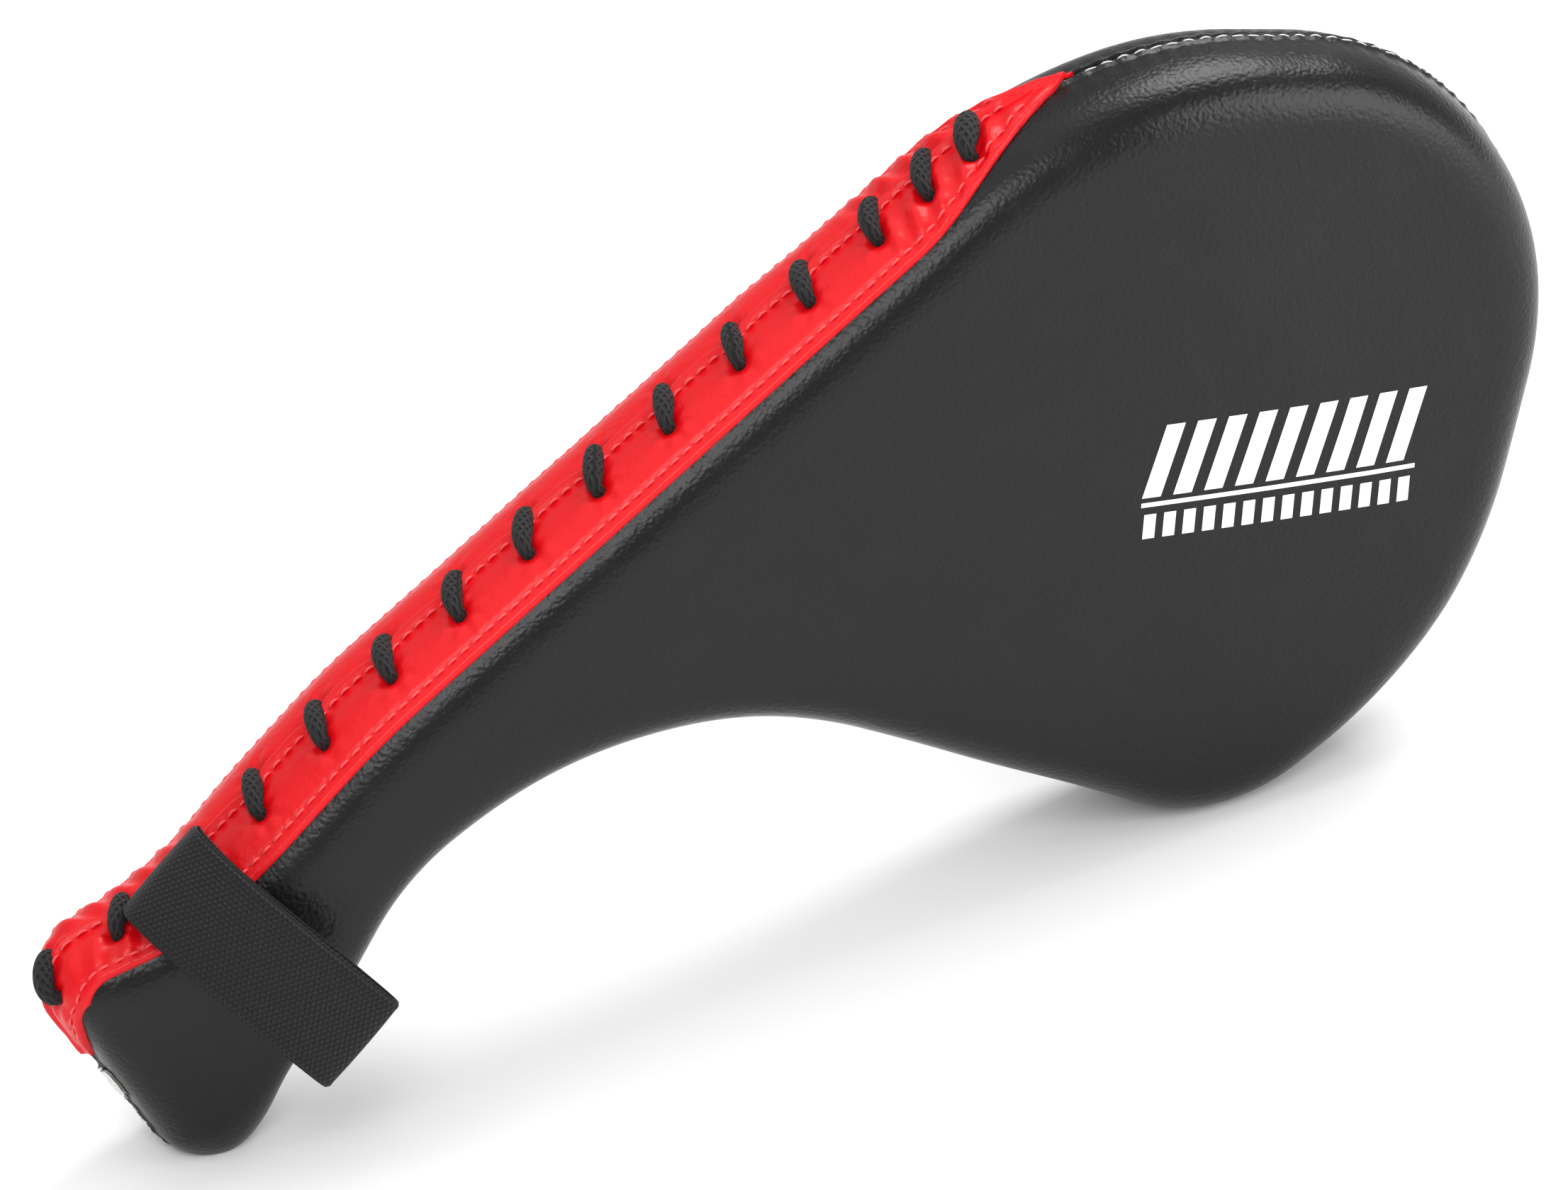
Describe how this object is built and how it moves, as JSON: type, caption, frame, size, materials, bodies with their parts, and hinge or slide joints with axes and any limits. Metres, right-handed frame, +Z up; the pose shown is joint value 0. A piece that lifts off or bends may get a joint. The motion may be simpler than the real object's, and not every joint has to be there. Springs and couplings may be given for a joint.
{
  "type": "kick paddle",
  "caption": "Racket-shaped padded kick paddle with a laced long edge over red bands and a swinging elastic wrist loop.",
  "frame": {"origin": "centre of the bounding box, on the floor under the paddle", "axes": "+X from the grip towards the head, +Z up with the laced edge on top, printed front face towards -Y"},
  "size_m": [0.4044, 0.0652, 0.2024],
  "materials": {
    "black_leather": "semi-gloss grained black",
    "red_leather": "glossy red",
    "black_trim": "satin black",
    "core": "matte",
    "foam": "matte grey foam",
    "tongue": "satin black",
    "cord": "matte braided black",
    "elastic": "matte woven black",
    "tag": "woven white",
    "print": "flat pale print"
  },
  "bodies": {
    "paddle": {"front_cover": "black_leather", "back_cover": "black_leather", "front_placket": "red_leather", "back_placket": "red_leather", "perimeter_welt": "black_trim", "core_board": "core", "grip_foam_front": "foam", "grip_foam_back": "foam", "head_foam_front": "foam", "head_foam_back": "foam", "edge_foam": "foam", "butt_foam": "foam", "lace_tongue": "tongue", "lace": "cord", "lace_knot_butt": "cord", "lace_knot_head": "cord", "loop_anchor": "elastic", "edge_label": "tag", "face_print": "print"},
    "wrist_loop": {"wrist_loop": "elastic"}
  },
  "joints": [
    {"name": "wrist_loop_swing", "type": "hinge", "parent": "paddle", "child": "wrist_loop", "pos_m": [-0.16546, 0.01058, 0.07494], "axis": [-0.8714, 0, -0.4905], "range_deg": [0, 115]}
  ]
}
